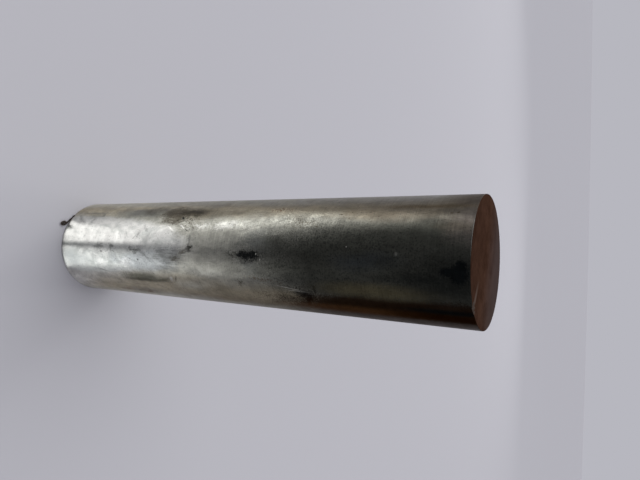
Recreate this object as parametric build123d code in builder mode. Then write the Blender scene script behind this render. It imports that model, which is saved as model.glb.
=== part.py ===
from build123d import *
import os

# Offcut of peeled steel round bar, standing on one sawn end with the brown sawn end on top.
# Z runs along the axis of the bar, and the origin is in the middle of the end that it stands on.

bar_diameter = 63.0  # a preferred size of rolled round bar
bar_length = 280.0  # from one sawn end to the other
rim_radius = 0.3  # both sawn rims, worn just off sharp

# Where the saw broke through, it tore a shallow scoop out of the rim of the top end
nick_angle = -52.0  # degrees around the axis, from +X towards +Y
nick_reach = 4.4  # from the rim in across the sawn face, and as far each way along the rim
nick_depth = 0.5  # below the sawn face, where the scoop meets the rim

bar_radius = bar_diameter / 2

# The scoop is the cap of a large ball, so that it runs out to nothing on the face
scoop_radius = (nick_reach**2 + nick_depth**2) / (2 * nick_depth)
scoop_center = bar_length - nick_depth + scoop_radius

with BuildPart() as round_bar:
    with BuildSketch():
        Circle(bar_radius)
    extrude(amount=bar_length)
    rims = round_bar.edges().filter_by(GeomType.CIRCLE)
    fillet(rims, rim_radius)
    with PolarLocations(bar_radius, 1, start_angle=nick_angle):
        with Locations((0, 0, scoop_center)):
            Sphere(scoop_radius, mode=Mode.SUBTRACT)

round_bar.part.label = "round_bar"
os.makedirs("parts", exist_ok=True)
export_step(round_bar.part, "parts/round_bar.step")
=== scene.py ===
import bpy
import bmesh
import math
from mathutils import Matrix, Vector, noise


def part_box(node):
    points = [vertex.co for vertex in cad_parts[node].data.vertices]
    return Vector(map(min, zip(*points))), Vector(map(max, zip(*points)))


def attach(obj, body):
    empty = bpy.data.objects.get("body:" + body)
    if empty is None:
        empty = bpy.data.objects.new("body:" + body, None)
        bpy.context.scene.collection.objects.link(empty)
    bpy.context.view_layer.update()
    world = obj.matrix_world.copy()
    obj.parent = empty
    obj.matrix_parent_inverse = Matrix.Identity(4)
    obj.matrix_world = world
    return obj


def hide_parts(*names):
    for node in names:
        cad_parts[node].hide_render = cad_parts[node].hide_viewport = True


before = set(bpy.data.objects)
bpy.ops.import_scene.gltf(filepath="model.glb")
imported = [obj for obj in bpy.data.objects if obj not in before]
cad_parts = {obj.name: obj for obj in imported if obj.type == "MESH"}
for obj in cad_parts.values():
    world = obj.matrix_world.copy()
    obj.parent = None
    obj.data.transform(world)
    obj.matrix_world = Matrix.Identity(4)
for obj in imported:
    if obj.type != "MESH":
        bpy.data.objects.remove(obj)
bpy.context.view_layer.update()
mm = 0.001

# The bar stands on the floor, and the camera is rolled so that it lies across the picture
view = {
    "eye": (-5.6, -232.2, 326.9),
    "aim": (-8.5, 0.0, 190.3),
    "roll": 91.35,  # degrees
    "lens": 27.33,  # on a 36 mm sensor
}


def makeCamera():
    data = bpy.data.cameras.new("camera")
    data.sensor_width = 36
    data.lens = view["lens"]
    camera = bpy.data.objects.new("camera", data)
    bpy.context.collection.objects.link(camera)
    eye, aim = (Vector(view[key]) * mm for key in ("eye", "aim"))
    camera.location = eye
    camera.rotation_euler = (aim - eye).to_track_quat("-Z", "Y").to_euler()
    camera.rotation_euler.rotate_axis("Z", math.radians(view["roll"]))
    bpy.context.scene.camera = camera


makeCamera()
print("camera placed")


# Small helpers for the node trees
def addNode(tree, kind, inputs=None, **settings):
    node = tree.nodes.new(kind)
    for name, value in settings.items():
        setattr(node, name, value)
    for key, value in (inputs or {}).items():
        if isinstance(value, bpy.types.NodeSocket):
            tree.links.new(value, node.inputs[key])
        else:
            node.inputs[key].default_value = value
    return node


def calc(tree, operation, *values):
    return addNode(tree, "ShaderNodeMath", dict(enumerate(values)), operation=operation).outputs[0]


def vectorCalc(tree, operation, first, second):
    return addNode(tree, "ShaderNodeVectorMath", {0: first, 1: second}, operation=operation).outputs[0]


def fit(tree, value, low, high, toLow=0.0, toHigh=1.0):
    inputs = {"Value": value, "From Min": low, "From Max": high, "To Min": toLow, "To Max": toHigh}
    return addNode(tree, "ShaderNodeMapRange", inputs, interpolation_type="SMOOTHSTEP").outputs[0]


def tint(tree, factor, first, second, mode="MIX"):
    inputs = {0: factor, 6: first, 7: second}
    return addNode(tree, "ShaderNodeMix", inputs, data_type="RGBA", blend_type=mode).outputs[2]


def stretch(tree, vector, scale):
    return addNode(tree, "ShaderNodeMapping", {"Vector": vector, "Scale": scale}).outputs[0]


def clouds(tree, vector, scale, detail, rough, warp=0.0):
    inputs = {"Vector": vector, "Scale": scale, "Detail": detail, "Roughness": rough, "Distortion": warp}
    return addNode(tree, "ShaderNodeTexNoise", inputs).outputs


def bumped(tree, height, distance, strength=1.0, under=None):
    inputs = {"Height": height, "Distance": distance, "Strength": strength}
    if under is not None:
        inputs["Normal"] = under
    return addNode(tree, "ShaderNodeBump", inputs).outputs[0]


def objectCoords(tree):
    return addNode(tree, "ShaderNodeTexCoord").outputs["Object"]


def newGroup(name, inputs, outputs):
    group = bpy.data.node_groups.new(name, "ShaderNodeTree")
    for label, start in inputs.items():
        kind = "NodeSocketVector" if isinstance(start, tuple) else "NodeSocketFloat"
        group.interface.new_socket(name=label, in_out="INPUT", socket_type=kind).default_value = start
    for label in outputs:
        group.interface.new_socket(name=label, in_out="OUTPUT", socket_type="NodeSocketFloat")
    return group, addNode(group, "NodeGroupInput").outputs, addNode(group, "NodeGroupOutput").inputs


def useGroup(tree, group, **values):
    return addNode(tree, "ShaderNodeGroup", values, node_tree=group).outputs


def newMaterial(name):
    material = bpy.data.materials.new(name)
    material.use_nodes = True
    tree = material.node_tree
    tree.nodes.clear()
    shader = addNode(tree, "ShaderNodeBsdfPrincipled")
    addNode(tree, "ShaderNodeOutputMaterial", {"Surface": shader.outputs[0]})
    return material, tree, shader


low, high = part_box("round_bar")
barRadius = (high.x - low.x) / 2
barLength = high.z - low.z


# How far up the bar a point is, and how far round it from the -Y side towards -X, both in metres
def makePlaceGroup():
    group, given, made = newGroup("placeOnBar", {}, ["Along", "Around"])
    xyz = addNode(group, "ShaderNodeSeparateXYZ", {0: objectCoords(group)}).outputs
    left = calc(group, "MULTIPLY", xyz["X"], -1.0)
    front = calc(group, "MULTIPLY", xyz["Y"], -1.0)
    angle = calc(group, "ARCTAN2", left, front)
    group.links.new(xyz["Z"], made["Along"])
    group.links.new(calc(group, "MULTIPLY", angle, barRadius), made["Around"])
    return group


# One mark, used both for dirt and for patches of painted light and shade: an oval, Long up the bar and Wide
# round it, both half sizes in metres. Bend is a noise that tears its outline by the amount Torn, and Grains
# is a finer one that frays its edge by the amount Frayed
def makeMarkGroup():
    start = {"Place": (0, 0, 0), "Bend": (0, 0, 0), "Grains": 0.5, "Up": 0.0, "Round": 0.0, "Long": 0.01,
             "Wide": 0.01, "Slant": 0.0, "Torn": 0.3, "Soft": 0.5, "Frayed": 0.3}
    group, given, made = newGroup("mark", start, ["Mask"])
    middle = addNode(group, "ShaderNodeCombineXYZ", {"X": given["Up"], "Y": given["Round"]}).outputs[0]
    away = vectorCalc(group, "SUBTRACT", given["Place"], middle)
    turned = addNode(group, "ShaderNodeVectorRotate", {"Vector": away, "Angle": given["Slant"]},
                     rotation_type="Z_AXIS").outputs[0]
    size = addNode(group, "ShaderNodeCombineXYZ", {"X": given["Long"], "Y": given["Wide"], "Z": 1.0}).outputs[0]
    scaled = vectorCalc(group, "DIVIDE", turned, size)
    push = addNode(group, "ShaderNodeVectorMath", {0: given["Bend"], "Scale": given["Torn"]},
                   operation="SCALE").outputs[0]
    pushed = vectorCalc(group, "ADD", scaled, push)
    far = addNode(group, "ShaderNodeVectorMath", {0: pushed}, operation="LENGTH").outputs["Value"]
    fray = calc(group, "MULTIPLY", calc(group, "SUBTRACT", given["Grains"], 0.5), given["Frayed"])
    edge = calc(group, "MULTIPLY_ADD", fray, 4.0, far)
    inner = calc(group, "SUBTRACT", 1.0, given["Soft"])
    group.links.new(fit(group, edge, inner, 1.0, 1.0, 0.0), made["Mask"])
    return group


# Fine rings left by the peeling tool, fainter in patches
def makeRingsGroup():
    group, given, made = newGroup("toolRings", {"Pitch": 0.0005, "Patchy": 0.5}, ["Height"])
    coords = objectCoords(group)
    xyz = addNode(group, "ShaderNodeSeparateXYZ", {0: coords}).outputs
    turns = calc(group, "DIVIDE", xyz["Z"], given["Pitch"])
    flatX = calc(group, "MULTIPLY", xyz["X"], 25.0)
    flatY = calc(group, "MULTIPLY", xyz["Y"], 25.0)
    vector = addNode(group, "ShaderNodeCombineXYZ", {"X": flatX, "Y": flatY, "Z": turns}).outputs[0]
    lines = clouds(group, vector, 1.0, 3.0, 0.6)["Fac"]
    patch = fit(group, clouds(group, coords, 60.0, 3.0, 0.5)["Fac"], 0.35, 0.65)
    depth = calc(group, "SUBTRACT", 1.0, calc(group, "MULTIPLY", patch, given["Patchy"]))
    centred = calc(group, "SUBTRACT", lines, 0.5)
    group.links.new(calc(group, "MULTIPLY_ADD", centred, depth, 0.5), made["Height"])
    return group


placeGroup = makePlaceGroup()
markGroup = makeMarkGroup()
ringsGroup = makeRingsGroup()

# The bar. Lengths are in mm, and angles in degrees from +X towards +Y
bar = {
    "steps": 336,  # faces round the bar
    "sideRings": 150,
    "topRings": 56,
    "baseRings": 24,
    "rim": 0.3,  # worn radius of both rims
    "nickAngle": -52.0,
    "nickReach": 4.4,
    "nickDepth": 0.5,
    "sawAngle": -33.5,  # the way the saw marks run
    "coarseMark": 1.9,
    "fineMark": 0.7,
    "stepLength": 20.0,  # of the low step that the saw left, inward from the nick
    "stepHeight": 0.12,
    "stepLean": 0.26,  # how far the step leans from straight inward, for each mm of its length
}


def barProfile():
    rim = bar["rim"] * mm
    inner = barRadius - rim
    turns = [math.pi / 2 * i / 3 for i in range(4)]
    points = [(inner * i / bar["baseRings"], 0.0) for i in range(bar["baseRings"])]
    points += [(inner + rim * math.sin(a), rim - rim * math.cos(a)) for a in turns]
    sideStep = (barLength - 2 * rim) / bar["sideRings"]
    points += [(barRadius, rim + sideStep * i) for i in range(1, bar["sideRings"])]
    points += [(inner + rim * math.cos(a), barLength - rim + rim * math.sin(a)) for a in turns]
    points += [(inner * (1 - i / bar["topRings"]), barLength) for i in range(1, bar["topRings"] + 1)]
    return points


# How far the saw marks lie below the end, which leaves the step that runs in from the nick standing
def sawRelief(x, y):
    a = math.radians(bar["sawAngle"])
    across = -x * math.sin(a) + y * math.cos(a)
    along = x * math.cos(a) + y * math.sin(a)
    wander = noise.noise(Vector((along * 30, across * 60, 3.1))) * 0.6 * mm
    coarse = noise.noise(Vector(((across + wander) / (bar["coarseMark"] * mm), along * 14, 0.7)))
    fine = noise.noise(Vector(((across + wander) / (bar["fineMark"] * mm), along * 25, 5.2)))
    marks = (1 + coarse) * 0.035 * mm + (1 + fine) * 0.02 * mm
    nick = math.radians(bar["nickAngle"])
    inward = barRadius - (x * math.cos(nick) + y * math.sin(nick))
    aside = -x * math.sin(nick) + y * math.cos(nick) + inward * bar["stepLean"]
    fade = max(0.0, 1 - abs(inward) / (bar["stepLength"] * mm))
    slope = min(max(0.5 - aside / (1.2 * mm), 0.0), 1.0)
    return -marks - slope * fade * bar["stepHeight"] * mm


def makeBar():
    mesh = bmesh.new()
    verts = [mesh.verts.new((r, 0, z)) for r, z in barProfile()]
    edges = [mesh.edges.new(pair) for pair in zip(verts, verts[1:])]
    bmesh.ops.spin(mesh, geom=verts + edges, cent=(0, 0, 0), axis=(0, 0, 1), angle=math.tau,
                   steps=bar["steps"], use_merge=True)
    bmesh.ops.remove_doubles(mesh, verts=mesh.verts, dist=0.01 * mm)
    bmesh.ops.recalc_face_normals(mesh, faces=mesh.faces)
    reach, depth = bar["nickReach"] * mm, bar["nickDepth"] * mm
    ballRadius = (reach**2 + depth**2) / (2 * depth)
    a = math.radians(bar["nickAngle"])
    ball = Vector((barRadius * math.cos(a), barRadius * math.sin(a), barLength - depth + ballRadius))
    nickAt = ball.xy
    torn = set()
    for vert in mesh.verts:
        x, y, z = vert.co
        if z > barLength - 0.01 * mm and math.hypot(x, y) < barRadius - bar["rim"] * mm * 0.9:
            z += sawRelief(x, y)
        flat = math.hypot(x - ball.x, y - ball.y)
        if flat < ballRadius and z > barLength - 2 * depth:
            scoop = ball.z - math.sqrt(ballRadius**2 - flat**2)
            if scoop < z:
                z = scoop
                torn.add(vert)
        vert.co = x, y, z
    for face in mesh.faces:
        face.smooth = True
        onEnd = abs(face.normal.z) > 0.5
        face.material_index = 1 if onEnd else 0
        middle = face.calc_center_median()
        ragged = reach * (0.72 + 0.35 * noise.noise(middle * 900))
        if onEnd and torn.issuperset(face.verts) and math.dist(middle.xy, nickAt) < ragged:
            face.material_index = 2
    data = bpy.data.meshes.new("barBody")
    mesh.to_mesh(data)
    mesh.free()
    data.set_sharp_from_angle(angle=math.radians(40))
    return addPiece("barBody", data)


def addPiece(name, data):
    piece = bpy.data.objects.new(name, data)
    bpy.context.collection.objects.link(piece)
    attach(piece, "root")
    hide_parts("round_bar")
    return piece


barBody = makeBar()
print("bar made:", len(barBody.data.polygons), "faces")

# The chip that the saw left hanging from the rim of the base. Lengths are in mm, and angles in degrees from
# -Y towards -X
burr = {
    "start": 43.0,
    "bend": 27.0,
    "lift": 0.75,  # above the floor
    "thick": 0.6,  # half thickness
    "curlRadius": 1.5,
    "curlTurns": 1.3,
    "rough": 0.2,
    "wander": 0.5,
}


def onBase(angle, radius, height):
    a = math.radians(angle)
    return Vector((-math.sin(a) * radius, -math.cos(a) * radius, height)) * mm


def makeBurr():
    edge = barRadius / mm
    points = []
    for i in range(13):
        t = i / 12
        angle = burr["start"] + (burr["bend"] - burr["start"]) * t
        points.append(onBase(angle, edge + 1.9 * t * t, burr["lift"]))
    way = (points[-1] - points[-2]).normalized()
    out = onBase(burr["bend"], 1, 0).normalized()
    radius = burr["curlRadius"] * mm
    middle = points[-1] + out * radius
    steps = 34
    for i in range(1, steps):
        t = i / steps
        turn = math.tau * burr["curlTurns"] * t
        tight = radius * (1 - 0.45 * t)
        at = middle + (way * math.sin(turn) - out * math.cos(turn)) * tight
        points.append(at + Vector((0, 0, 0.9 * t * mm)))
    curve = bpy.data.curves.new("burrPath", "CURVE")
    curve.dimensions = "3D"
    curve.bevel_depth = burr["thick"] * mm
    curve.bevel_resolution = 3
    curve.use_fill_caps = True
    line = curve.splines.new("POLY")
    line.points.add(len(points) - 1)
    for i, (point, at) in enumerate(zip(line.points, points)):
        point.co = (*at, 1)
        ripple = noise.noise(at * burr["wander"] / mm)
        point.radius = 0.75 + 0.35 * min(i / 20, 1) + 0.5 * ripple
    path = bpy.data.objects.new("burrPath", curve)
    data = bpy.data.meshes.new_from_object(path)
    data.name = "barBurr"
    bpy.data.objects.remove(path)
    bpy.data.curves.remove(curve)
    mesh = bmesh.new()
    mesh.from_mesh(data)
    bmesh.ops.recalc_face_normals(mesh, faces=mesh.faces)
    # Three plain noises, because the vector noise starts from another place in each run
    for vert in mesh.verts:
        at = vert.co / mm * 1.3
        shove = Vector([noise.noise(at + Vector((aside, 0, 0))) for aside in (0, 17, 34)])
        vert.co += shove * burr["rough"] * mm
        vert.co.z = max(vert.co.z, 0.05 * mm)
    for face in mesh.faces:
        face.smooth = True
    mesh.to_mesh(data)
    mesh.free()
    return addPiece("barBurr", data)


barBurr = makeBurr()
print("burr made:", len(barBurr.data.polygons), "faces")

# Finishes on the peeled side. Colours are linear
steel = {
    "low": (0.434, 0.431, 0.378, 1),
    "dull": (0.285, 0.283, 0.242, 1),
    # Darker towards the near end: an oily skin, and painted shade for the dark surroundings mirrored there
    "oilyAndShadedSide": (0.166, 0.160, 0.134, 1),
    "smear": (0.25, 0.27, 0.25, 1),
    # Bluish tint of a painted reflection on the lower half of the wiped patch
    "cool": (0.96, 1.0, 1.0, 1),
    "warm": (1.0, 0.893, 0.742, 1),
    "roughness": 0.40,
    "glance": (0.505, 0.48, 0.47, 1),  # of the greasy skin seen along the surface, and painted shade on the lower side, where the bar's own shadow is mirrored
    "anisotropic": 0.85,
}
tones = {
    "bright": (0.85, 0.84, 0.80),
    "wiped": (0.62, 0.616, 0.578),
    "pale": (0.493, 0.492, 0.433),
    "coolGrey": (0.41, 0.435, 0.43),
    "grey": (0.24, 0.25, 0.235),
    "slate": (0.12, 0.125, 0.115),
    "haze": (0.196, 0.197, 0.167),
    "mirroredShadow": (0.060, 0.051, 0.046),
    # Also painted shade where it darkens the oily near end
    "oilAndShade": (0.0362, 0.0370, 0.0305),
    "ink": (0.026, 0.031, 0.035),
    "soot": (0.030, 0.028, 0.023),
    "black": (0.005, 0.006, 0.006),
    "olive": (0.17, 0.168, 0.125),
    "darkOlive": (0.095, 0.092, 0.062),
    "deepOlive": (0.060, 0.053, 0.036),
    "murk": (0.090, 0.079, 0.058),
    "darkGrime": (0.030, 0.025, 0.016),
    "dun": (0.115, 0.100, 0.088),
    "grime": (0.065, 0.055, 0.037),
    "tan": (0.15, 0.115, 0.075),
    "ochre": (0.105, 0.078, 0.042),
    "brown": (0.105, 0.050, 0.022),
    "mirroredBrown": (0.068, 0.033, 0.014),
    "umber": (0.013, 0.0055, 0.0022),
    "moss": (0.084, 0.073, 0.041),
}
# Places are mm above the base and degrees round from the side that faces -Y towards -X. Sizes are half sizes in
# mm, up the bar and round it, and slants are degrees from up the bar towards -X
# Dirt and wear, together with patches of painted reflection, painted shade and painted glints
marksAndPaintedLight = {
    "wipedLower": {"at": (20, -28), "size": (92, 14), "torn": 0.1, "soft": 0.95, "part": 0.65, "tone": "wiped"},
    "wipedPatch": {"at": (18, 5), "size": (105, 21.5), "torn": 0.06, "soft": 0.15, "frayed": 0.03, "tone": "wiped"},
    "wipedTip": {"at": (84, -13), "size": (29, 7.5), "torn": 0.12, "soft": 0.4, "part": 0.8, "tone": "coolGrey"},
    # Painted shade: darker on the upper flank, where less light is mirrored
    "upperShade": {"at": (76, 45), "size": (54, 9.2), "torn": 0.1, "soft": 0.9, "part": 0.95, "tone": "haze"},
    "upperDark": {"at": (74, 50), "size": (34, 6.5), "torn": 0.2, "soft": 0.98, "part": 0.65, "tone": "slate"},
    "upperDim": {"at": (80, 52), "size": (24, 7), "torn": 0.3, "soft": 0.98, "part": 0.7, "tone": "murk"},
    # Painted reflection: darker on the lower flank, brown surroundings mirrored there
    "lowerShade": {"at": (68, -58), "size": (19, 7), "torn": 0.3, "soft": 0.98, "part": 0.65, "tone": "murk"},
    "topBrown": {"at": (148, 45), "size": (32, 4.4), "torn": 0.15, "soft": 0.95, "part": 0.75, "tone": "murk"},
    "topMurk": {"at": (121, 45), "size": (29, 7.0), "torn": 0.15, "soft": 0.8, "part": 0.85, "tone": "murk"},
    "baseLight": {"at": (-2, 37), "size": (22, 8), "torn": 0.2, "soft": 0.95, "part": 0.65, "tone": "wiped"},
    # Painted light: lighter on the lower side by the base, against the floor's shadow mirrored there
    "baseLower": {"at": (0, -46), "size": (42, 17), "torn": 0.1, "soft": 0.95, "part": 0.85, "tone": "bright"},
    "paleMiddle": {"at": (131, -20), "size": (24, 5.5), "torn": 0.08, "soft": 0.98, "part": 0.5, "tone": "pale"},
    "paleLow": {"at": (118, -39), "size": (24, 6), "torn": 0.15, "soft": 0.98, "part": 0.5, "tone": "pale"},
    # Painted highlight: brightens the highlight band
    "paleBand": {"at": (146, 27.5), "size": (30, 4.2), "slant": 5, "torn": 0.15, "soft": 0.9, "part": 0.55,
                 "tone": "pale"},
    "haze": {"at": (185, -3), "size": (62, 19), "torn": 0.12, "soft": 0.9, "part": 0.85, "tone": "haze"},
    # Painted shade: darker along the lower edge towards the near end, the bar's own shadow mirrored there
    "lowerMirroredShadow": {"at": (256, -60), "size": (112, 15), "torn": 0.05, "soft": 0.6, "part": 0.9, "tone": "mirroredShadow"},
    # Oily skin and painted shade: darkens the middle and near end, where dark surroundings are mirrored
    "oilFilmAndShade": {"at": (276, -8), "size": (137, 34), "torn": 0.04, "soft": 0.46, "frayed": 0.05, "tone": "oilAndShade"},
    "oilDots": {"at": (222, -4), "size": (74, 28), "torn": 0.15, "soft": 0.6, "dots": True, "part": 0.42,
                "tone": "black"},
    "inkFilm": {"at": (233, -3), "size": (24, 7), "torn": 0.2, "soft": 0.95, "part": 0.5, "tone": "ink"},
    # Painted reflection: a dark line up the far end, a window bar mirrored there
    "streak": {"at": (0, 2.8), "size": (98, 3.3), "torn": 0.15, "soft": 0.95, "part": 0.8, "tone": "grey"},
    "streakWide": {"at": (64, 1.5), "size": (33, 4.4), "torn": 0.3, "soft": 0.95, "part": 0.5, "tone": "grey"},
    "streakSpotA": {"at": (75, -0.8), "size": (9, 2.9), "torn": 0.6, "soft": 0.98, "tone": "slate"},
    "streakSpotB": {"at": (54, 1.0), "size": (3.4, 3.6), "torn": 0.5, "soft": 0.98, "part": 0.9, "tone": "slate"},
    "streakSpotC": {"at": (40, 1.9), "size": (8, 2.6), "torn": 0.5, "soft": 0.98, "part": 0.75, "tone": "slate"},
    "streakTail": {"at": (86, -8), "size": (9, 3.0), "slant": -24, "torn": 0.6, "soft": 0.98, "part": 0.65,
                   "tone": "slate"},
    "flameA": {"at": (42, -15), "size": (7.5, 5.5), "slant": -40, "torn": 0.6, "soft": 0.95, "part": 0.4,
               "tone": "bright"},
    "flameB": {"at": (67, -16), "size": (7.0, 5.5), "torn": 0.6, "soft": 0.95, "part": 0.35, "tone": "bright"},
    "flameNotch": {"at": (43.5, -4.5), "size": (2.2, 1.1), "slant": -30, "torn": 0.3, "soft": 0.9, "part": 0.7,
                   "tone": "slate"},
    "dimBase": {"at": (13, -15), "size": (24, 8.5), "torn": 0.3, "soft": 0.95, "part": 0.55, "tone": "coolGrey"},
    "dimMiddle": {"at": (55, -11), "size": (5.5, 6.5), "torn": 0.35, "soft": 0.95, "part": 0.6, "tone": "coolGrey"},
    "hatchA": {"at": (77, 15), "size": (4.2, 2.2), "slant": 62, "torn": 0.6, "soft": 0.98, "part": 0.55,
               "tone": "slate"},
    "hatchB": {"at": (74.6, 14), "size": (2.6, 0.6), "slant": 55, "torn": 0.3, "soft": 0.9, "part": 0.5,
               "tone": "slate"},
    "hatchC": {"at": (83, 23), "size": (4.2, 1.6), "slant": -40, "torn": 0.6, "soft": 0.98, "part": 0.45,
               "tone": "slate"},
    "hatchD": {"at": (66, 18), "size": (5.0, 0.6), "slant": -52, "torn": 0.3, "soft": 0.9, "part": 0.45,
               "tone": "grey"},
    "hatchE": {"at": (61, 14), "size": (4.0, 0.5), "slant": -48, "torn": 0.3, "soft": 0.9, "part": 0.4,
               "tone": "grey"},
    "wispA": {"at": (14, 36), "size": (9.5, 2.2), "slant": -31, "torn": 0.5, "soft": 0.98, "part": 0.5,
              "tone": "slate"},
    "wispB": {"at": (26, 33), "size": (5.5, 2.0), "slant": 62, "torn": 0.5, "soft": 0.98, "part": 0.45,
              "tone": "slate"},
    "wispC": {"at": (34, 43), "size": (4.5, 1.6), "slant": -50, "torn": 0.4, "soft": 0.95, "part": 0.55,
              "tone": "slate"},
    "baseHaze": {"at": (26, 41), "size": (16, 3.4), "torn": 0.4, "soft": 0.95, "part": 0.45, "tone": "haze"},
    "baseBand": {"at": (24, 46.5), "size": (24, 1.8), "torn": 0.25, "soft": 0.95, "part": 0.6, "tone": "slate"},
    "brushed": {"at": (107, -6), "size": (17, 8.5), "torn": 0.3, "soft": 0.8, "strokes": True, "tone": "slate"},
    "brushedLow": {"at": (104, -20), "size": (14, 4), "torn": 0.3, "soft": 0.9, "strokes": True, "part": 0.8,
                   "tone": "grey"},
    "brushedHaze": {"at": (105, -5), "size": (18, 11), "torn": 0.3, "soft": 0.95, "part": 0.8, "tone": "grey"},
    "edgeSpotLow": {"at": (110, -8), "size": (5.5, 2.4), "torn": 0.5, "soft": 0.95, "part": 0.75, "tone": "grime"},
    "edgeSpotHigh": {"at": (122.5, 3.2), "size": (3.6, 3.0), "torn": 0.5, "soft": 0.9, "tone": "soot"},
    "edgeLink": {"at": (117, -1), "size": (6, 2.2), "slant": 28, "torn": 0.5, "soft": 0.95, "part": 0.7,
                 "tone": "grime"},
    "edgeRim": {"at": (121.5, 14), "size": (1.3, 6), "slant": 8, "torn": 0.4, "soft": 0.95, "part": 0.5,
                "tone": "slate"},
    "thinLine": {"at": (41.5, -27.5), "size": (7.5, 0.5), "slant": -12, "torn": 0.12, "soft": 0.9, "part": 0.7,
                 "tone": "slate"},
    "oliveBand": {"at": (77, -33), "size": (31, 4.8), "torn": 0.12, "soft": 0.85, "part": 0.9, "tone": "olive"},
    "oliveCore": {"at": (76, -37.5), "size": (29, 2.2), "torn": 0.15, "soft": 0.95, "part": 0.85,
                  "tone": "darkOlive"},
    "oliveTip": {"at": (96, -35.5), "size": (9, 1.9), "slant": 10, "torn": 0.2, "soft": 0.9, "part": 0.8,
                 "tone": "darkOlive"},
    "spotShade": {"at": (107.6, -32), "size": (3.4, 1.1), "slant": 62, "torn": 0.4, "soft": 0.95, "part": 0.7,
                  "tone": "grime"},
    "roundSpot": {"at": (103.6, -32.8), "size": (2.6, 1.7), "slant": 62, "torn": 0.25, "soft": 0.9, "part": 0.6,
                  "tone": "wiped"},
    "darkDot": {"at": (78.5, -12), "size": (0.9, 0.8), "torn": 0.1, "soft": 0.6, "tone": "slate"},
    # Painted reflection: brown spots on the lower flank, where brown surroundings are mirrored
    "lowerSpot": {"at": (73, -62), "size": (7, 3.4), "slant": 40, "torn": 0.35, "soft": 0.98, "part": 0.7,
                  "tone": "brown"},
    "lowerSpotB": {"at": (52, -59), "size": (9, 3.0), "torn": 0.35, "soft": 0.98, "part": 0.5, "tone": "brown"},
    "topGrime": {"at": (102, 44), "size": (16, 9.6), "torn": 0.3, "soft": 0.6, "frayed": 0.3, "part": 0.9, "tone": "grime"},
    "topGrimeCore": {"at": (116, 45.5), "size": (14, 5.0), "torn": 0.4, "soft": 0.8, "frayed": 0.4, "tone": "darkGrime"},
    "topSpecks": {"at": (116, 34), "size": (16, 7), "soft": 0.9, "dots": True, "part": 0.85, "tone": "grime"},
    # Painted glints: the bright folds are creases catching the light; foldD and foldG are dark marks beside them
    "foldA": {"at": (104.5, 24), "size": (5.2, 0.7), "slant": -27, "torn": 0.4, "soft": 0.95, "part": 0.6,
              "tone": "bright"},
    "foldB": {"at": (113.5, 26), "size": (3.0, 0.7), "slant": -30, "torn": 0.6, "soft": 0.98, "part": 0.5,
              "tone": "bright"},
    "foldC": {"at": (118.5, 24.5), "size": (2.6, 0.5), "slant": 14, "torn": 0.5, "soft": 0.95, "part": 0.5,
              "tone": "bright"},
    "foldD": {"at": (117.5, 22.5), "size": (2.8, 0.4), "slant": -24, "torn": 0.2, "soft": 0.8, "part": 0.8,
              "tone": "soot"},
    "foldE": {"at": (125, 27.5), "size": (3.6, 1.2), "slant": -20, "torn": 0.7, "soft": 0.98, "part": 0.4,
              "tone": "bright"},
    "foldF": {"at": (130, 27), "size": (6, 2.2), "slant": 12, "torn": 0.7, "soft": 0.98, "part": 0.25,
              "tone": "bright"},
    "foldG": {"at": (122, 25.5), "size": (2.4, 0.4), "slant": -35, "torn": 0.2, "soft": 0.8, "part": 0.7,
              "tone": "grime"},
    "foldH": {"at": (147, 28), "size": (13, 3), "slant": 6, "torn": 0.8, "soft": 0.98, "part": 0.25,
              "tone": "bright"},
    "stainHalo": {"at": (180, 11), "size": (26, 11), "torn": 0.2, "soft": 0.95, "part": 0.8, "tone": "oilAndShade"},
    "stainTop": {"at": (168, 13), "size": (15, 11), "torn": 0.3, "soft": 0.98, "part": 0.65, "tone": "slate"},
    "stainDrip": {"at": (166, -10), "size": (10, 9), "torn": 0.35, "soft": 0.98, "part": 0.6, "tone": "slate"},
    "stainShade": {"at": (165.5, -1.5), "size": (11, 5.6), "torn": 0.35, "soft": 0.98, "part": 0.7, "tone": "soot"},
    "stainCore": {"at": (163.5, -1.8), "size": (7.0, 3.6), "torn": 0.4, "soft": 0.85, "frayed": 0.35,
                  "tone": "black"},
    "stainSide": {"at": (168.0, -3.0), "size": (5.2, 3.0), "torn": 0.4, "soft": 0.9, "frayed": 0.35,
                  "tone": "black"},
    "stainCrest": {"at": (169.0, 0.8), "size": (4.0, 2.1), "torn": 0.4, "soft": 0.9, "frayed": 0.35,
                   "tone": "black"},
    "stainTip": {"at": (159.4, -0.6), "size": (3.2, 1.7), "torn": 0.45, "soft": 0.9, "frayed": 0.4, "tone": "black"},
    "stainLeft": {"at": (154.3, -1.6), "size": (5, 2.8), "torn": 0.6, "soft": 0.98, "frayed": 0.6, "part": 0.75,
                  "tone": "soot"},
    "stainAround": {"at": (165, -2.5), "size": (13, 5), "soft": 0.9, "dots": True, "tone": "black"},
    "stainGlint": {"at": (170.4, 0.2), "size": (0.5, 0.7), "torn": 0.1, "soft": 0.6, "tone": "pale", "part": 0.8},
    "stainGlintLow": {"at": (173, -5), "size": (0.35, 0.7), "torn": 0.1, "soft": 0.6, "tone": "pale", "part": 0.6},
    "oliveSpecks": {"at": (157.5, -30), "size": (4.2, 3.4), "soft": 0.8, "dots": True, "tone": "grime"},
    "oliveSmear": {"at": (157.5, -31), "size": (3.2, 1.5), "slant": 58, "torn": 0.4, "soft": 0.9, "part": 0.6,
                   "tone": "deepOlive"},
    "brownLine": {"at": (172, -24.5), "size": (15, 1.5), "slant": -6, "torn": 0.3, "soft": 0.9, "dots": True,
                  "part": 0.8, "tone": "brown"},
    "smudge": {"at": (198.5, -38.6), "size": (8.6, 4.8), "torn": 0.35, "soft": 0.8, "frayed": 0.35, "tone": "black"},
    "smudgeLeft": {"at": (193.8, -36.6), "size": (5.0, 2.2), "torn": 0.4, "soft": 0.9, "part": 0.9, "tone": "soot"},
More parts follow.
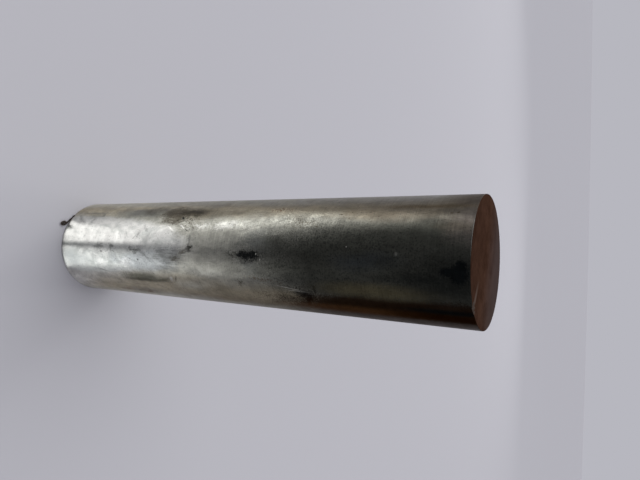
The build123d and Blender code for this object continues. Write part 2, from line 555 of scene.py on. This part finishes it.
    "smudgeArm": {"at": (203.8, -32), "size": (1.6, 4.6), "torn": 0.4, "soft": 0.9, "part": 0.9, "tone": "black"},
    "smudgeTail": {"at": (198, -45.5), "size": (7.0, 2.4), "slant": 55, "torn": 0.35, "soft": 0.9, "tone": "black"},
    "smudgeSpecks": {"at": (196, -36), "size": (12, 5), "soft": 0.8, "dots": True, "tone": "soot"},
    "scratchA": {"at": (188, -31.8), "size": (12, 0.2), "slant": -8, "torn": 0.02, "soft": 0.8, "frayed": 0.1,
                 "part": 0.8, "tone": "pale"},
    "scratchB": {"at": (192.5, -34.6), "size": (9, 0.18), "slant": -3, "torn": 0.02, "soft": 0.8, "frayed": 0.1,
                 "part": 0.7, "tone": "pale"},
    "brownSpecksA": {"at": (178, 48), "size": (12, 4), "soft": 0.9, "dots": True, "part": 0.8, "tone": "brown"},
    "brownSpecksB": {"at": (195, 31), "size": (12, 6), "soft": 0.9, "dots": True, "part": 0.65, "tone": "murk"},
    "brownVeil": {"at": (192, 37), "size": (13, 8), "torn": 0.4, "soft": 0.98, "part": 0.5, "tone": "murk"},
    # Painted reflection: these four bands along the lower flank paint dark brown surroundings mirrored there
    "lowerWarm": {"at": (138, -58), "size": (96, 6.4), "torn": 0.1, "soft": 0.95, "part": 0.5, "tone": "ochre"},
    "blackBand": {"at": (262, -46), "size": (103, 8.8), "torn": 0.1, "soft": 0.43, "part": 0.9, "tone": "umber"},
    "mirroredBrownBand": {"at": (221, -54), "size": (56, 5.0), "torn": 0.05, "soft": 0.75, "part": 0.85, "tone": "mirroredBrown"},
    "mirroredDarkEnd": {"at": (270, -53), "size": (46, 5.5), "torn": 0.05, "soft": 0.8, "part": 0.85, "tone": "umber"},
    "nearOlive": {"at": (236, -28.5), "size": (46, 6.2), "torn": 0.1, "soft": 0.95, "part": 0.9, "tone": "moss"},
    "blackEnd": {"at": (270, -44), "size": (34, 2.7), "torn": 0.12, "soft": 0.9, "tone": "black"},
    "blackMiddle": {"at": (256, -14), "size": (20, 4.2), "torn": 0.25, "soft": 0.98, "part": 0.6, "tone": "black"},
    "nearShade": {"at": (281, 34), "size": (20, 15), "torn": 0.08, "soft": 0.95, "part": 0.95, "tone": "dun"},
    "nearTopShade": {"at": (286, 61), "size": (27, 13), "torn": 0.1, "soft": 0.98, "part": 0.9, "tone": "dun"},
    "endBlotch": {"at": (275.3, -8.5), "size": (5.2, 6.2), "torn": 0.12, "soft": 0.5, "tone": "black"},
    "endBlotchSide": {"at": (270, -7.8), "size": (4.4, 2.8), "torn": 0.15, "soft": 0.6, "tone": "black"},
    "endBlotchTop": {"at": (276, -1.5), "size": (3.2, 3.0), "torn": 0.2, "soft": 0.7, "tone": "black"},
    "nearBlack": {"at": (274, -13), "size": (28, 17), "torn": 0.1, "soft": 0.98, "part": 0.7, "tone": "black"},
    "nearOchre": {"at": (257, 51), "size": (29, 2.4), "torn": 0.15, "soft": 0.95, "part": 0.85, "tone": "ochre"},
    # Painted highlight: a warm glow along the top of the highlight
    "nearTan": {"at": (240, 42), "size": (42, 6.5), "torn": 0.15, "soft": 0.95, "part": 0.4, "tone": "tan"},
    "bandShade": {"at": (169, 40.5), "size": (14, 3.8), "torn": 0.35, "soft": 0.98, "part": 0.45, "tone": "murk"},
    "bandShadeFar": {"at": (130, 41), "size": (11, 4.4), "torn": 0.35, "soft": 0.98, "part": 0.42, "tone": "murk"},
    "rimShade": {"at": (273, 30), "size": (17, 6), "torn": 0.15, "soft": 0.98, "part": 0.6, "tone": "darkGrime"},
    "pairA": {"at": (269.5, 42.5), "size": (1.3, 0.8), "slant": 20, "torn": 0.2, "soft": 0.8, "tone": "grime"},
    "pairB": {"at": (272.4, 43.2), "size": (1.2, 0.7), "slant": 35, "torn": 0.2, "soft": 0.8, "tone": "grime"},
    "dotA": {"at": (216, 41.5), "size": (1.0, 0.6), "torn": 0.1, "soft": 0.7, "tone": "grime"},
    "dotB": {"at": (221.5, 44), "size": (0.7, 0.5), "torn": 0.1, "soft": 0.7, "tone": "grime"},
    "dotC": {"at": (221, 36.8), "size": (0.8, 0.4), "torn": 0.1, "soft": 0.7, "part": 0.8, "tone": "grime"},
    "dotD": {"at": (204.5, 28), "size": (0.9, 0.5), "torn": 0.1, "soft": 0.7, "part": 0.8, "tone": "grime"},
    "pitA": {"at": (110.4, 37.6), "size": (1.7, 0.85), "slant": -38, "torn": 0.08, "soft": 0.4, "frayed": 0.0,
             "tone": "black"},
    "pitB": {"at": (107, 34.3), "size": (1.2, 0.5), "slant": 25, "torn": 0.08, "soft": 0.5, "frayed": 0.0,
             "tone": "soot"},
    "lightDotA": {"at": (222.8, 9.6), "size": (0.4, 0.4), "torn": 0.05, "soft": 0.6, "frayed": 0.0, "part": 0.6,
                  "tone": "pale"},
    "lightDotB": {"at": (247.6, 4.8), "size": (1.2, 1.5), "torn": 0.3, "soft": 0.98, "frayed": 0.2, "part": 0.15,
                  "tone": "pale"},
    "wornRim": {"at": (280, 24), "size": (0.5, 14), "torn": 0.0, "soft": 0.5, "frayed": 0.1, "part": 0.5,
                "tone": "grey"},
    "backOilA": {"at": (215, 118), "size": (58, 11), "torn": 0.2, "soft": 0.9, "part": 0.7, "tone": "oilAndShade"},
    "backOilB": {"at": (150, -128), "size": (80, 9), "torn": 0.2, "soft": 0.9, "part": 0.6, "tone": "oilAndShade"},
    "backOilC": {"at": (245, -112), "size": (30, 8), "torn": 0.3, "soft": 0.9, "part": 0.6, "tone": "deepOlive"},
    "backWipeA": {"at": (40, 140), "size": (70, 12), "torn": 0.12, "soft": 0.5, "part": 0.6, "tone": "wiped"},
    "backWipeB": {"at": (95, -150), "size": (60, 8), "torn": 0.15, "soft": 0.7, "part": 0.45, "tone": "pale"},
    "backBrown": {"at": (70, 168), "size": (64, 3.5), "torn": 0.15, "soft": 0.95, "part": 0.7, "tone": "tan"},
    "backSpot": {"at": (188, 147), "size": (5, 2.4), "torn": 0.5, "soft": 0.8, "frayed": 0.4, "tone": "soot"},
    "backSpecks": {"at": (120, -108), "size": (34, 11), "soft": 0.98, "dots": True, "part": 0.3, "tone": "brown"},
}
# Patches where the skin is creased, as places and half sizes
creased = {
    "byThePit": {"at": (120, 28), "size": (18, 5), "torn": 0.3, "soft": 0.8, "part": 0.8},
    "highlight": {"at": (150, 29), "size": (38, 6), "torn": 0.3, "soft": 0.95, "part": 0.6},
    "middle": {"at": (186, 34), "size": (36, 6), "torn": 0.3, "soft": 0.95, "part": 0.8},
    "wiped": {"at": (70, -12), "size": (30, 7), "torn": 0.3, "soft": 0.95, "part": 0.5},
}


def markMask(tree, fields, mark):
    up, turn = mark["at"]
    size = mark["size"]
    bend = fields["wideBend"] if max(size) > 20 else fields["midBend"] if max(size) > 7 else fields["fineBend"]
    return useGroup(tree, markGroup, Place=fields["place"], Bend=bend, Grains=fields["grains"], Up=up * mm,
                    Round=math.radians(turn) * barRadius, Long=size[0] * mm, Wide=size[1] * mm,
                    Slant=-math.radians(mark.get("slant", 0)), Torn=mark.get("torn", 0.3),
                    Soft=mark.get("soft", 0.45), Frayed=mark.get("frayed", 0.2))["Mask"]


# The noises and places that the marks share
def makeFields(tree, coords):
    place = useGroup(tree, placeGroup)
    drawn = stretch(tree, coords, (1, 1, 0.5))
    fields = {
        "along": place["Along"],
        "around": place["Around"],
        "place": addNode(tree, "ShaderNodeCombineXYZ", {"X": place["Along"], "Y": place["Around"]}).outputs[0],
        "drawn": drawn,
        "grains": clouds(tree, coords, 1500.0, 3.0, 0.65)["Fac"],
        "dots": fit(tree, clouds(tree, coords, 1050.0, 2.0, 0.5)["Fac"], 0.53, 0.60),
        "strokes": fit(tree, clouds(tree, stretch(tree, coords, (1, 1, 0.07)), 1500.0, 2.0, 0.6)["Fac"], 0.40, 0.62),
    }
    for name, scale in (("wideBend", 60.0), ("midBend", 240.0), ("fineBend", 650.0)):
        colour = clouds(tree, drawn, scale, 7.0, 0.7)["Color"]
        fields[name] = vectorCalc(tree, "MULTIPLY", vectorCalc(tree, "SUBTRACT", colour, (0.5, 0.5, 0.5)), (6, 6, 0))
    return fields


def baseTone(tree, fields, drift):
    wander = calc(tree, "MULTIPLY_ADD", drift, 0.15, fields["along"])
    base = tint(tree, fit(tree, wander, 0.05, 0.15), steel["low"], steel["dull"])
    edge = calc(tree, "MULTIPLY_ADD", drift, 0.02, fields["around"])
    # Darker towards the near end: oily skin, and painted shade for the dark surroundings mirrored there
    base = tint(tree, fit(tree, wander, 0.165, 0.27), base, steel["oilyAndShadedSide"])
    sides = calc(tree, "ABSOLUTE", edge)
    begins = fit(tree, edge, -0.004, 0.004, 0.012, 0.018)
    ends = calc(tree, "ADD", begins, 0.011)
    warmer = calc(tree, "MULTIPLY", fit(tree, sides, begins, ends), fit(tree, sides, 0.029, 0.037, 1.0, 0.35))
    return tint(tree, warmer, base, steel["warm"], "MULTIPLY")


# Where grease dims what is seen along the surface, with painted shade on the lower side for the bar's own shadow
# mirrored there: the lower side towards the near end, and the top corner there
def greaseAndShadowMask(tree, coords):
    xyz = addNode(tree, "ShaderNodeSeparateXYZ", {0: coords}).outputs
    lower = calc(tree, "MULTIPLY", fit(tree, xyz["X"], 0.012, 0.022), fit(tree, xyz["Z"], 0.06, 0.22))
    upper = calc(tree, "MULTIPLY", fit(tree, xyz["X"], -0.020, -0.026), fit(tree, xyz["Z"], 0.256, 0.276))
    return calc(tree, "MAXIMUM", lower, upper)


def makeSteel():
    material, tree, shader = newMaterial("peeledSteel")
    coords = objectCoords(tree)
    fields = makeFields(tree, coords)
    drawn = fields["drawn"]
    rings = useGroup(tree, ringsGroup, Pitch=0.0005, Patchy=0.6)["Height"]
    drift = calc(tree, "SUBTRACT", clouds(tree, drawn, 32.0, 6.0, 0.62)["Fac"], 0.5)
    base = baseTone(tree, fields, drift)
    smears = fit(tree, clouds(tree, drawn, 95.0, 8.0, 0.68, 0.5)["Fac"], 0.44, 0.66)
    for name, mark in marksAndPaintedLight.items():
        mask = markMask(tree, fields, mark)
        for grain in ("dots", "strokes"):
            if mark.get(grain):
                mask = calc(tree, "MULTIPLY", mask, fields[grain])
        part = calc(tree, "MULTIPLY", mask, mark.get("part", 1.0))
        base = tint(tree, part, base, (*tones[mark["tone"]], 1))
        if name == "wipedPatch":
            smeared = calc(tree, "MULTIPLY", mask, calc(tree, "MULTIPLY", smears, 0.55))
            base = tint(tree, smeared, base, steel["smear"])
            # Painted reflection: the lower half of the wiped patch is tinted bluish
            lowerHalf = fit(tree, fields["around"], 0.004, -0.010)
            base = tint(tree, calc(tree, "MULTIPLY", mask, lowerHalf), base, steel["cool"], "MULTIPLY")
            wiped = mask
    folds = clouds(tree, drawn, 380.0, 5.0, 0.6, 1.2)["Fac"]
    ridge = calc(tree, "ABSOLUTE", calc(tree, "SUBTRACT", folds, 0.5))
    creases = fit(tree, ridge, 0.0, 0.12, 1.0, 0.0)
    creasedMask = None
    for patch in creased.values():
        mask = calc(tree, "MULTIPLY", markMask(tree, fields, patch), patch.get("part", 1.0))
        creasedMask = mask if creasedMask is None else calc(tree, "MAXIMUM", creasedMask, mask)
    creases = calc(tree, "MULTIPLY", creases, calc(tree, "MULTIPLY_ADD", creasedMask, 0.94, 0.06))
    mottle = fit(tree, clouds(tree, drawn, 210.0, 8.0, 0.74, 0.3)["Fac"], 0.3, 0.7, 0.75, 1.19)
    behind = fit(tree, calc(tree, "ABSOLUTE", fields["around"]), 0.042, 0.055)
    calmer = calc(tree, "SUBTRACT", 1.0, calc(tree, "MULTIPLY", calc(tree, "MAXIMUM", wiped, behind), 0.6))
    mottle = calc(tree, "MULTIPLY_ADD", calc(tree, "SUBTRACT", mottle, 1.0), calmer, 1.0)
    specks = fit(tree, clouds(tree, coords, 1250.0, 2.0, 0.6)["Fac"], 0.63, 0.72, 1.0, 0.35)
    hairs = fit(tree, rings, 0.2, 0.8, -0.20, 0.18)
    hairs = calc(tree, "MULTIPLY_ADD", hairs, fit(tree, wiped, 0.0, 1.0, 1.0, 0.4), 1.0)
    shade = calc(tree, "MULTIPLY", calc(tree, "MULTIPLY", mottle, specks), hairs)
    # Painted glints: the skin is lighter along the creases
    shade = calc(tree, "MULTIPLY", shade, calc(tree, "MULTIPLY_ADD", creases, 0.6, 0.95))
    grey = addNode(tree, "ShaderNodeCombineColor", {"Red": shade, "Green": shade, "Blue": shade}).outputs[0]
    base = tint(tree, 1.0, base, grey, "MULTIPLY")
    tree.links.new(base, shader.inputs["Base Color"])
    glance = tint(tree, greaseAndShadowMask(tree, coords), (1, 1, 1, 1), steel["glance"])
    tree.links.new(glance, shader.inputs["Specular Tint"])
    shader.inputs["Metallic"].default_value = 1.0
    patches = clouds(tree, coords, 130.0, 6.0, 0.65)["Fac"]
    rough = fit(tree, patches, 0.3, 0.7, steel["roughness"] - 0.06, steel["roughness"] + 0.08)
    tree.links.new(rough, shader.inputs["Roughness"])
    shader.inputs["Anisotropic"].default_value = steel["anisotropic"]
    shader.inputs["Anisotropic Rotation"].default_value = 0.25
    normal = bumped(tree, clouds(tree, stretch(tree, coords, (1, 1, 0.3)), 55.0, 5.0, 0.6)["Fac"], 0.00015)
    normal = bumped(tree, creases, 0.00009, under=normal)
    normal = bumped(tree, clouds(tree, coords, 700.0, 4.0, 0.7)["Fac"], 0.00004, under=normal)
    normal = bumped(tree, rings, 0.00002, under=normal)
    tree.links.new(normal, shader.inputs["Normal"])
    return material


# Finishes on the sawn ends. Colours are linear
sawn = {
    "dark": (0.031, 0.0150, 0.0095, 1),
    "light": (0.058, 0.0295, 0.0190, 1),
    # grey is the colour of a painted sheen towards one edge of the end
    "grey": (0.056, 0.043, 0.041, 1),
    "torn": (0.056, 0.043, 0.035, 1),
    "step": (0.078, 0.055, 0.044, 1),  # painted highlight on the edge of the low step by the nick
    "chip": (0.022, 0.013, 0.008, 1),
}


# Painted highlight along the edge of the low step that runs in from the nick, and fades inward
def stepEdgeHighlight(tree, coords):
    turned = addNode(tree, "ShaderNodeVectorRotate", {"Vector": coords, "Angle": -math.radians(bar["nickAngle"])},
                     rotation_type="Z_AXIS").outputs[0]
    xyz = addNode(tree, "ShaderNodeSeparateXYZ", {0: turned}).outputs
    inward = calc(tree, "SUBTRACT", barRadius, xyz["X"])
    aside = calc(tree, "ABSOLUTE", calc(tree, "MULTIPLY_ADD", inward, bar["stepLean"], xyz["Y"]))
    return calc(tree, "MULTIPLY", fit(tree, aside, 0.0004, 0.0018, 1.0, 0.0), fit(tree, inward, 0.005, 0.016, 1.0, 0.0))


def makeSawn():
    material, tree, shader = newMaterial("sawnEnd")
    coords = objectCoords(tree)
    turned = addNode(tree, "ShaderNodeVectorRotate", {"Vector": coords, "Angle": -math.radians(bar["sawAngle"])},
                     rotation_type="Z_AXIS").outputs[0]
    lines = clouds(tree, stretch(tree, turned, (90, 1700, 90)), 1.0, 4.0, 0.6)["Fac"]
    cloudy = clouds(tree, coords, 110.0, 6.0, 0.65)["Fac"]
    mixed = calc(tree, "MULTIPLY_ADD", lines, 0.35, calc(tree, "MULTIPLY", cloudy, 0.65))
    base = tint(tree, fit(tree, mixed, 0.34, 0.66), sawn["dark"], sawn["light"])
    xyz = addNode(tree, "ShaderNodeSeparateXYZ", {0: coords}).outputs
    # Painted sheen: the end turns greyer towards +Y and a little towards +X
    away = calc(tree, "MULTIPLY_ADD", xyz["X"], 0.35, xyz["Y"])
    paintedSheen = fit(tree, calc(tree, "MULTIPLY_ADD", cloudy, 0.02, away), 0.004, 0.036, 0.0, 0.75)
    base = tint(tree, paintedSheen, base, sawn["grey"])
    shade = fit(tree, xyz["Y"], -0.030, -0.004, 0.80, 1.0)
    grey = addNode(tree, "ShaderNodeCombineColor", {"Red": shade, "Green": shade, "Blue": shade}).outputs[0]
    base = tint(tree, 1.0, base, grey, "MULTIPLY")
    base = tint(tree, stepEdgeHighlight(tree, coords), base, sawn["step"])
    tree.links.new(base, shader.inputs["Base Color"])
    shader.inputs["Roughness"].default_value = 0.85
    shader.inputs["Specular IOR Level"].default_value = 0.0
    tree.links.new(bumped(tree, lines, 0.00012), shader.inputs["Normal"])
    return material


def makePlainMetal(name, tone, metallic, roughness):
    material, tree, shader = newMaterial(name)
    patches = clouds(tree, objectCoords(tree), 900.0, 4.0, 0.6)["Fac"]
    shade = fit(tree, patches, 0.35, 0.65, 0.6, 1.25)
    grey = addNode(tree, "ShaderNodeCombineColor", {"Red": shade, "Green": shade, "Blue": shade}).outputs[0]
    tree.links.new(tint(tree, 1.0, tone, grey, "MULTIPLY"), shader.inputs["Base Color"])
    shader.inputs["Metallic"].default_value = metallic
    shader.inputs["Specular IOR Level"].default_value = metallic
    shader.inputs["Roughness"].default_value = roughness
    return material


barBody.data.materials.append(makeSteel())
barBody.data.materials.append(makeSawn())
barBody.data.materials.append(makePlainMetal("tornSteel", sawn["torn"], 0.0, 0.85))
barBurr.data.materials.append(makePlainMetal("burrSteel", sawn["chip"], 0.6, 0.5))
print("materials made")

# The studio. Lengths are in mm, and powers in watts
studio = {
    "floorTone": (0.462, 0.458, 0.482),
    "floorRadius": 12000,
    "skyTone": (0.91, 0.91, 1.0),
    "skyStrength": 0.54,  # as light
    "skyShown": 0.52,  # as seen, and as mirrored in the steel
}
sun = {
    "from": (-0.45, 0.22, 1.0),
    "spread": 60.0,  # degrees
    "strength": 1.62,
}
# Tall soft lamps behind the bar, which its back mirrors. Ways are degrees from -Y towards -X
softboxes = {
    "backLeft": {"way": 142, "away": 2300, "size": (620, 1700), "low": 450, "strength": 1.9},
    "backRight": {"way": -176, "away": 2300, "size": (560, 1700), "low": 450, "strength": 1.9},
}
# Light strips that lie on the floor behind the bar, where its back mirrors them
strips = {
    "nearStrip": {"from": 240, "to": 700, "wide": 170, "strength": 1.3},
    "farStrip": {"from": 700, "to": 2300, "wide": 380, "strength": 1.3},
}
# Light panels that lie on the floor in front of the bar. Each is given by the stretch of the bar that mirrors it
# to the camera: mm above the base, degrees round from -Y towards -X, and how strong it is
glows = {
    "left": [(2, 20, 3.7, 30, 1.6), (20, 40, 3.9, 27, 1.7), (40, 60, 4, 25.5, 2.0), (60, 80, 6, 24, 2.3),
             (80, 100, 7, 24, 2.1), (100, 118, 15, 27, 2.9)],
    "band": [(118, 136, 19, 27.5, 5.9), (136, 156, 22, 32, 6.1), (156, 176, 28, 33.5, 4.3), (176, 200, 30, 38, 3.4),
             (200, 224, 26.5, 42, 7.4), (224, 254, 29, 42.5, 5.9)],
    "right": [(2, 20, 0.9, -24, 1.5), (20, 40, 0.1, -23, 1.5), (40, 60, -2, -22, 1.8), (60, 80, -3, -21, 1.8),
              (80, 98, -5, -19, 1.3), (98, 118, -13, -24, 1.2), (118, 140, -11, -27, 2.7),
              (140, 156, -13, -24, 1.6)],
}


def makeFloor():
    mesh = bmesh.new()
    bmesh.ops.create_circle(mesh, cap_ends=True, segments=96, radius=studio["floorRadius"] * mm)
    data = bpy.data.meshes.new("floor")
    mesh.to_mesh(data)
    mesh.free()
    floor = bpy.data.objects.new("floor", data)
    bpy.context.collection.objects.link(floor)
    material, tree, shader = newMaterial("floorPaper")
    shader.inputs["Base Color"].default_value = (*studio["floorTone"], 1)
    shader.inputs["Roughness"].default_value = 0.9
    shader.inputs["Specular IOR Level"].default_value = 0.1
    data.materials.append(material)


def addLamp(name, kind, strength):
    data = bpy.data.lights.new(name, kind)
    data.energy = strength
    lamp = bpy.data.objects.new(name, data)
    bpy.context.collection.objects.link(lamp)
    return lamp, data


def addPanel(name, strength, size, at, turn):
    lamp, data = addLamp(name, "AREA", strength * math.pi * size[0] * size[1] * mm * mm)
    data.shape = "RECTANGLE"
    data.size, data.size_y = (side * mm for side in size)
    lamp.location = at * mm
    lamp.rotation_euler = turn
    lamp.visible_camera = False


# Where on the floor the camera sees, mirrored at this place on the bar
def mirrorSpot(up, turn):
    a = math.radians(turn)
    out = Vector((-math.sin(a), -math.cos(a), 0))
    at = out * barRadius / mm + Vector((0, 0, up))
    way = (at - Vector(view["eye"])).reflect(out)
    return at - way * (at.z / way.z)


def addGlow(name, start, end, near, far, strength):
    up, turn = (start + end) / 2, (near + far) / 2
    aside = mirrorSpot(up, far) - mirrorSpot(up, near)
    ahead = mirrorSpot(end, turn) - mirrorSpot(start, turn)
    side = aside.normalized()
    length = (ahead - side * ahead.dot(side)).length
    at = (mirrorSpot(start, turn) + mirrorSpot(end, turn)) / 2 + Vector((0, 0, 0.5))
    addPanel(name, strength, (aside.length, length), at, (math.pi, 0, math.atan2(side.y, side.x)))


def makeSky():
    world = bpy.data.worlds.new("studioWorld")
    world.use_nodes = True
    tree = world.node_tree
    seen = addNode(tree, "ShaderNodeLightPath").outputs
    shown = calc(tree, "MAXIMUM", seen["Is Camera Ray"], seen["Is Glossy Ray"])
    shown = calc(tree, "MAXIMUM", shown, seen["Is Transmission Ray"])
    extra = studio["skyShown"] - studio["skyStrength"]
    sky = tree.nodes["Background"].inputs
    sky["Color"].default_value = (*studio["skyTone"], 1)
    tree.links.new(calc(tree, "MULTIPLY_ADD", shown, extra, studio["skyStrength"]), sky["Strength"])
    bpy.context.scene.world = world


def makeLights():
    lamp, data = addLamp("sun", "SUN", sun["strength"])
    data.angle = math.radians(sun["spread"])
    lamp.rotation_euler = Vector(sun["from"]).to_track_quat("Z", "Y").to_euler()
    for name, rows in glows.items():
        for number, row in enumerate(rows):
            addGlow(name + str(number), *row)
    for name, box in softboxes.items():
        way = math.radians(box["way"])
        high = box["low"] + box["size"][1] / 2
        at = Vector((-math.sin(way), -math.cos(way), 0)) * box["away"] + Vector((0, 0, high))
        addPanel(name, box["strength"], box["size"], at, (math.pi / 2, 0, -way))
    for name, strip in strips.items():
        at = Vector((0, (strip["from"] + strip["to"]) / 2, 0.5))
        size = (strip["wide"], strip["to"] - strip["from"])
        addPanel(name, strip["strength"], size, at, (math.pi, 0, 0))


makeFloor()
makeSky()
makeLights()
print("studio lit")

bpy.context.scene.view_settings.view_transform = "Standard"
bpy.context.view_layer.update()
